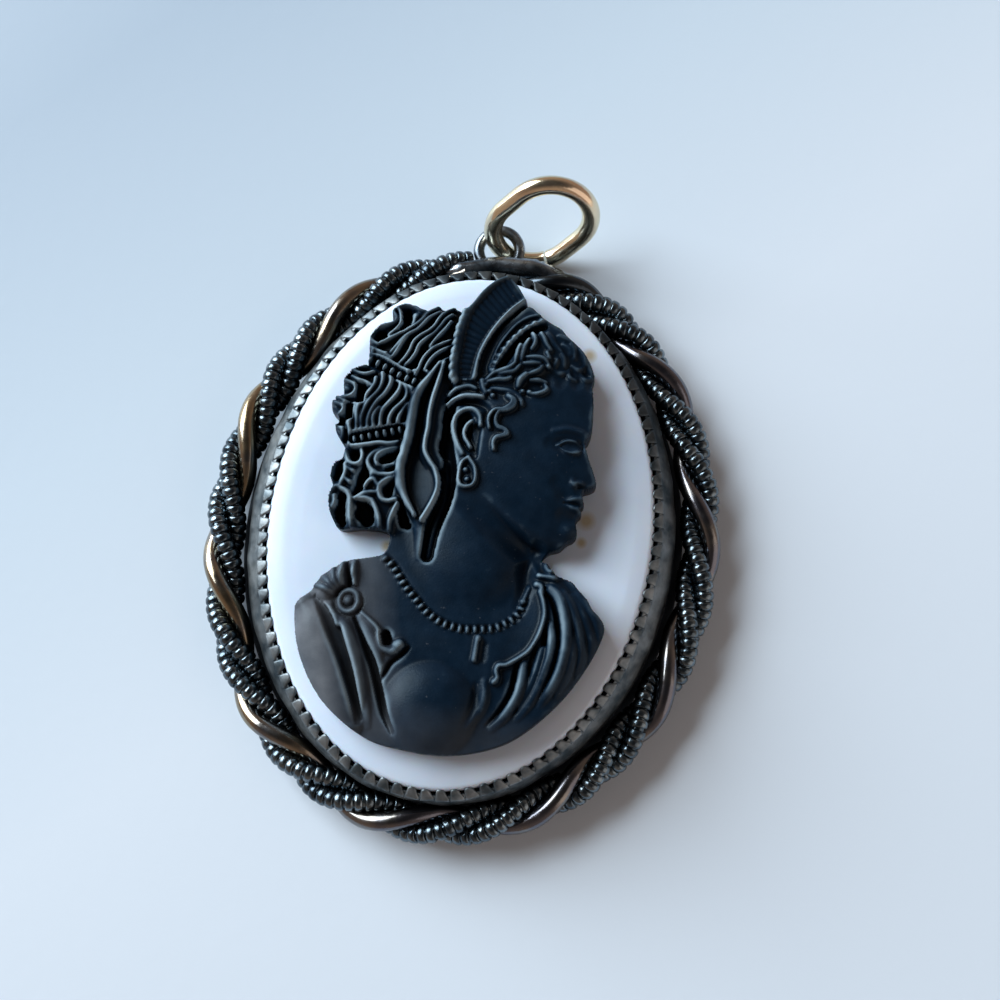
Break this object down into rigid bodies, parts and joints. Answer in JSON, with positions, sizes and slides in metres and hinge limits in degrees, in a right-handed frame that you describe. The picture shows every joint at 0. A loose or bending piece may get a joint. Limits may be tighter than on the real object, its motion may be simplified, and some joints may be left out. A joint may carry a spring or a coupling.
{
  "type": "cameo pendant",
  "caption": "Oval pendant with a black relief bust on a white plaque, held by bent-in teeth in a tarnished setting with a twisted rope border, hung from a loose split ring.",
  "frame": {"origin": "middle of the flat back of the setting, on the surface that the pendant lies on", "axes": "+Z out of the front of the cameo, +Y along the pendant towards the hanging ring, +X to the right as one faces the cameo"},
  "size_m": [0.0401, 0.0518, 0.0099],
  "materials": {
    "dark_silver": "blackened with tarnish, rubbed bright on the edges",
    "white_stone": "polished",
    "black_relief": "matte, faded brown at the shoulders",
    "plain_wire": "polished, with brown tarnish",
    "wound_wire": "blackened, bright on the ribs",
    "pale_gold": "polished, worn to copper inside"
  },
  "bodies": {
    "pendant": {"setting": "dark_silver", "stone_plaque": "white_stone", "cameo_bust": "black_relief", "plain_strand": "plain_wire", "wound_strand_a": "wound_wire", "wound_strand_b": "wound_wire"},
    "bail": {"hanging_ring": "pale_gold"}
  },
  "joints": [
    {"name": "bail_swing", "type": "hinge", "parent": "pendant", "child": "bail", "pos_m": [0.0012, 0.024, 0.0022], "axis": [0, 1, 0], "range_deg": [0, 85]}
  ]
}
